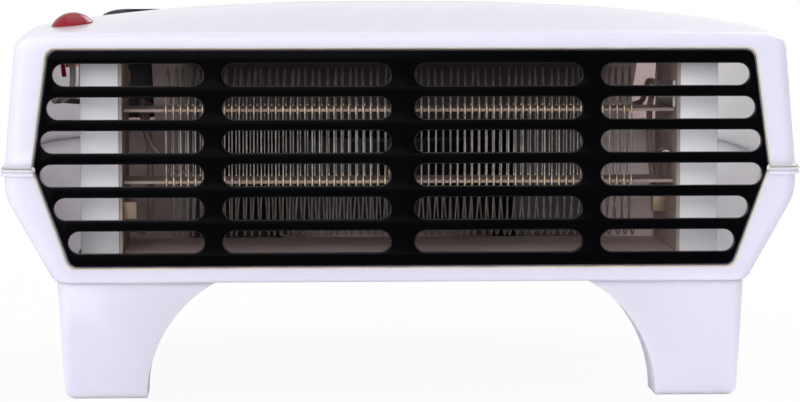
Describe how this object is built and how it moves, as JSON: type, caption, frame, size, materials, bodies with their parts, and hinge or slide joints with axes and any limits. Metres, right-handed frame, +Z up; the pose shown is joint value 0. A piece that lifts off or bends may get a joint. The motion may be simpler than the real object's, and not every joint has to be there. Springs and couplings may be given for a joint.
{
  "type": "fan heater",
  "caption": "Portable floor fan heater: white two-part housing on legs, wide slotted black outlet grille, wound heating element, blower, control knobs and a red lamp.",
  "frame": {"origin": "on the ground under the middle of the bounding box, at the bottom of the legs", "axes": "+Z up, the outlet grille faces -Y, the width runs along X with the indicator lens and the knobs at -X"},
  "size_m": [0.2702, 0.2292, 0.133],
  "materials": {
    "white_housing": "smooth moulded, slightly glossy white with a cool tint",
    "black_grille": "glossy black moulding",
    "panel_white": "satin white enamelled sheet",
    "mica": "matt grey-brown mica board, stands in for mica",
    "duct_sheet": "galvanised sheet, dull",
    "resistance_wire": "dull resistance alloy wire",
    "brass": "plain brass",
    "steel": "zinc plated",
    "lamination_steel": "stacked electrical steel sheet, dark",
    "winding": "varnished copper winding",
    "wheel_black": "matt black moulding",
    "knob_black": "glossy black moulding",
    "control_black": "matt black moulding",
    "insulator": "off-white insulating plastic",
    "red_lens": "glossy deep red, translucent",
    "lamp_glass": "clear glass with an orange glow",
    "lead_black": "black insulation"
  },
  "bodies": {
    "root": {"upper_housing": "white_housing", "lower_housing": "white_housing", "front_grille": "black_grille", "left_leg": "white_housing", "right_leg": "white_housing", "left_rear_foot": "white_housing", "right_rear_foot": "white_housing", "leg_screws": "steel", "foot_screws": "steel", "housing_screws": "steel", "intake_grille": "black_grille", "inlet_ring": "duct_sheet", "scroll_wall": "duct_sheet", "motor_plate": "duct_sheet", "duct_top": "duct_sheet", "duct_floor": "duct_sheet", "left_partition": "panel_white", "right_partition": "panel_white", "left_mica_board": "mica", "right_mica_board": "mica", "upper_mica_strip": "mica", "lower_mica_strip": "mica", "left_heating_wire": "resistance_wire", "right_heating_wire": "resistance_wire", "wire_terminals": "brass", "board_rivets": "brass", "thermal_cutout": "steel", "thermal_fuse": "steel", "motor_laminations": "lamination_steel", "coil_bobbin": "insulator", "motor_winding": "winding", "lower_bearing_bracket": "steel", "upper_bearing_bracket": "steel", "lower_bearing": "brass", "upper_bearing": "brass", "motor_screws": "steel", "thermostat_body": "control_black", "selector_switch": "control_black", "control_nuts": "steel", "indicator_lens": "red_lens", "neon_lamp": "lamp_glass", "terminal_block": "insulator", "cord_bush": "control_black", "cord_clamp": "insulator", "cord_clamp_screws": "steel", "switch_leads": "lead_black", "heater_leads": "lead_black", "motor_leads": "lead_black", "lamp_leads": "lead_black"},
    "blower": {"blower_wheel": "wheel_black", "motor_shaft": "steel", "motor_rotor": "lamination_steel"},
    "thermostat_control": {"thermostat_knob": "knob_black", "thermostat_spindle": "steel"},
    "selector_control": {"selector_knob": "knob_black", "selector_spindle": "steel"}
  },
  "joints": [
    {"name": "blower_spin", "type": "hinge", "parent": "root", "child": "blower", "pos_m": [0, 0.02, 0.066], "axis": [0, 0, 1], "continuous": true},
    {"name": "thermostat_turn", "type": "hinge", "parent": "root", "child": "thermostat_control", "pos_m": [-0.091, -0.008, 0.118], "axis": [0, 0, 1], "range_deg": [0, 270]},
    {"name": "selector_turn", "type": "hinge", "parent": "root", "child": "selector_control", "pos_m": [-0.086, 0.037, 0.114], "axis": [0, 0, 1], "range_deg": [0, 135]}
  ]
}
